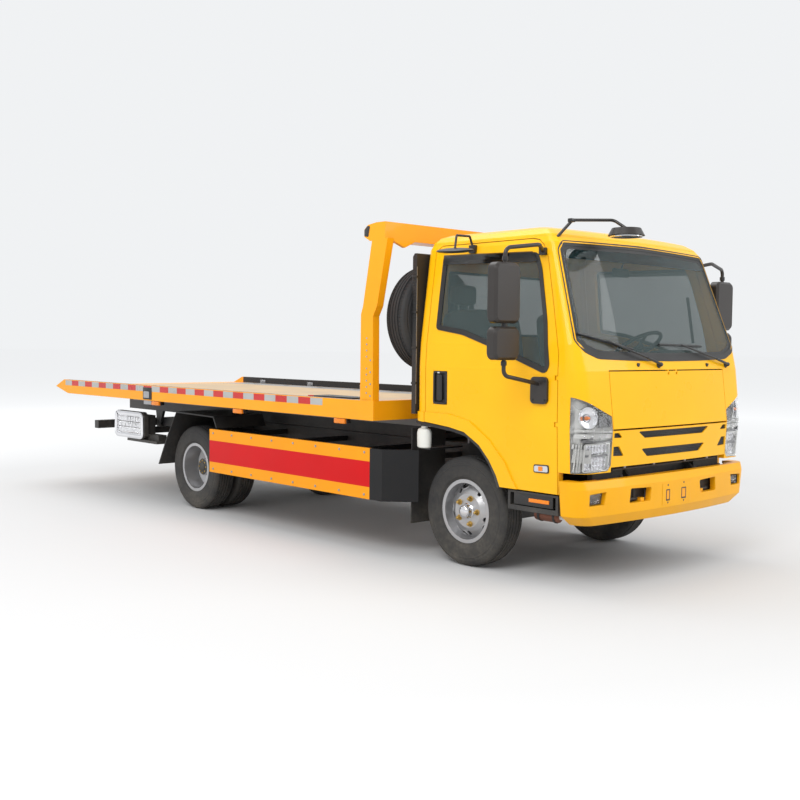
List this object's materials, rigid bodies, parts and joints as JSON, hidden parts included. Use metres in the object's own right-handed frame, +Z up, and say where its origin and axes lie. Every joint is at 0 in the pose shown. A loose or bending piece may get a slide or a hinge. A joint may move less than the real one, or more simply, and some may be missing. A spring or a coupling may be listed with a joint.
{
  "type": "flatbed tow truck",
  "caption": "Cab-over recovery truck with a sliding and tilting flat deck, a tilting cab, steered front wheels and a rear wheel lift.",
  "frame": {"origin": "on the ground under the middle of the whole vehicle's bounding box", "axes": "+X forward, +Y to the vehicle's left, +Z up"},
  "size_m": [6.92, 2.736, 2.388],
  "materials": {
    "yellow_paint": "gloss",
    "orange_paint": "gloss",
    "chassis_black": "satin",
    "black_plastic": "matte",
    "grey_plastic": "matte",
    "mirror_shell": "satin",
    "deck_paint": "satin",
    "silver_paint": "gloss",
    "lamp": "gloss",
    "chrome": "polished",
    "cast_iron": "cast",
    "tyre": "matte",
    "seat_fabric": "woven",
    "glass": "tinted"
  },
  "bodies": {
    "chassis": {"chassis_frame": "chassis_black", "axles": "chassis_black", "leaf_springs": "chassis_black", "engine": "cast_iron", "fuel_tank": "chassis_black", "side_skirts": "orange_paint", "mudguards": "black_plastic", "cab_steps": "black_plastic", "bumper": "yellow_paint", "air_intake": "black_plastic", "spare_tyre": "tyre", "spare_carrier": "silver_paint", "rear_lamps": "lamp"},
    "cab": {"cab_roof": "yellow_paint", "cab_back": "yellow_paint", "cab_front": "yellow_paint", "cab_floor": "black_plastic", "grille": "yellow_paint", "headlamps": "lamp", "cab_glass": "glass", "dashboard": "grey_plastic", "steering_wheel": "black_plastic", "seats": "seat_fabric", "front_mirror": "mirror_shell"},
    "lid": {"front_lid": "yellow_paint"},
    "door_left": {"door_left": "yellow_paint", "door_glass_left": "glass", "mirror_left": "mirror_shell"},
    "door_right": {"door_right": "yellow_paint", "door_glass_right": "glass", "mirror_right": "mirror_shell"},
    "knuckle_left": {"knuckle_left": "cast_iron"},
    "knuckle_right": {"knuckle_right": "cast_iron"},
    "tie_rod": {"tie_rod": "chassis_black"},
    "wheel_front_left": {"tyre_front_left": "tyre", "rim_front_left": "silver_paint"},
    "wheel_front_right": {"tyre_front_right": "tyre", "rim_front_right": "silver_paint"},
    "wheels_rear_left": {"tyres_rear_left": "tyre", "rims_rear_left": "silver_paint"},
    "wheels_rear_right": {"tyres_rear_right": "tyre", "rims_rear_right": "silver_paint"},
    "tilt_frame": {"tilt_frame": "chassis_black"},
    "bed": {"bed_floor": "deck_paint", "bed_rails": "orange_paint", "headboard": "orange_paint", "slide_rod": "chrome"},
    "tilt_barrels": {"tilt_barrels": "chassis_black"},
    "tilt_rods": {"tilt_rods": "chrome"},
    "lift_arm": {"lift_arm": "chassis_black"},
    "lift_boom": {"lift_boom": "chassis_black"}
  },
  "joints": [
    {"name": "bed_tilt", "type": "hinge", "parent": "chassis", "child": "tilt_frame", "pos_m": [-2.61, 0, 0.66], "axis": [0, -1, 0], "range_deg": [0, 15]},
    {"name": "bed_slide", "type": "slide", "parent": "tilt_frame", "child": "bed", "axis": [-1, 0, 0], "range_m": [0, 3]},
    {"name": "cab_tilt", "type": "hinge", "parent": "chassis", "child": "cab", "pos_m": [3.35, 0, 0.64], "axis": [0, 1, 0], "range_deg": [0, 42]},
    {"name": "lid_open", "type": "hinge", "parent": "cab", "child": "lid", "pos_m": [3.399, 0, 1.368], "axis": [0, -1, 0], "range_deg": [0, 60]},
    {"name": "door_left_open", "type": "hinge", "parent": "cab", "child": "door_left", "pos_m": [3.194, 0.95, 1.3], "axis": [0, 0, -1], "range_deg": [0, 65]},
    {"name": "door_right_open", "type": "hinge", "parent": "cab", "child": "door_right", "pos_m": [3.194, -0.95, 1.3], "axis": [0, 0, 1], "range_deg": [0, 65]},
    {"name": "steer_left", "type": "hinge", "parent": "chassis", "child": "knuckle_left", "pos_m": [2.32, 0.62, 0.337], "axis": [0, 0, 1], "range_deg": [-33, 33]},
    {"name": "steer_right", "type": "hinge", "parent": "chassis", "child": "knuckle_right", "pos_m": [2.32, -0.62, 0.337], "axis": [0, 0, 1], "range_deg": [-33, 33]},
    {"name": "tie_rod_pivot", "type": "hinge", "parent": "knuckle_left", "child": "tie_rod", "pos_m": [2.15, 0.62, 0.25], "axis": [0, 0, 1], "range_deg": [-33, 33]},
    {"name": "wheel_front_left_spin", "type": "hinge", "parent": "knuckle_left", "child": "wheel_front_left", "pos_m": [2.32, 0.752, 0.382], "axis": [0, 1, 0], "continuous": true},
    {"name": "wheel_front_right_spin", "type": "hinge", "parent": "knuckle_right", "child": "wheel_front_right", "pos_m": [2.32, -0.752, 0.382], "axis": [0, 1, 0], "continuous": true},
    {"name": "wheels_rear_left_spin", "type": "hinge", "parent": "chassis", "child": "wheels_rear_left", "pos_m": [-1.04, 0.7125, 0.382], "axis": [0, 1, 0], "continuous": true},
    {"name": "wheels_rear_right_spin", "type": "hinge", "parent": "chassis", "child": "wheels_rear_right", "pos_m": [-1.04, -0.7125, 0.382], "axis": [0, 1, 0], "continuous": true},
    {"name": "tilt_barrel_swing", "type": "hinge", "parent": "chassis", "child": "tilt_barrels", "pos_m": [-1.78, 0, 0.52], "axis": [0, -1, 0], "range_deg": [0, 25.5]},
    {"name": "tilt_rod_stroke", "type": "slide", "parent": "tilt_barrels", "child": "tilt_rods", "axis": [0.9108, 0, 0.4129], "range_m": [0, 0.158]},
    {"name": "lift_pitch", "type": "hinge", "parent": "chassis", "child": "lift_arm", "pos_m": [-2.03, 0, 0.68], "axis": [0, -1, 0], "range_deg": [0, 15]},
    {"name": "lift_extend", "type": "slide", "parent": "lift_arm", "child": "lift_boom", "axis": [-1, 0, 0], "range_m": [0, 0.4]}
  ],
  "couplings": [
    {"joint": "steer_right", "follows": "steer_left", "ratio": 1},
    {"joint": "tie_rod_pivot", "follows": "steer_left", "ratio": -1},
    {"joint": "tilt_barrel_swing", "follows": "bed_tilt", "ratio": 1.6759},
    {"joint": "tilt_rod_stroke", "follows": "bed_tilt", "m_per_rad": 0.5875}
  ]
}
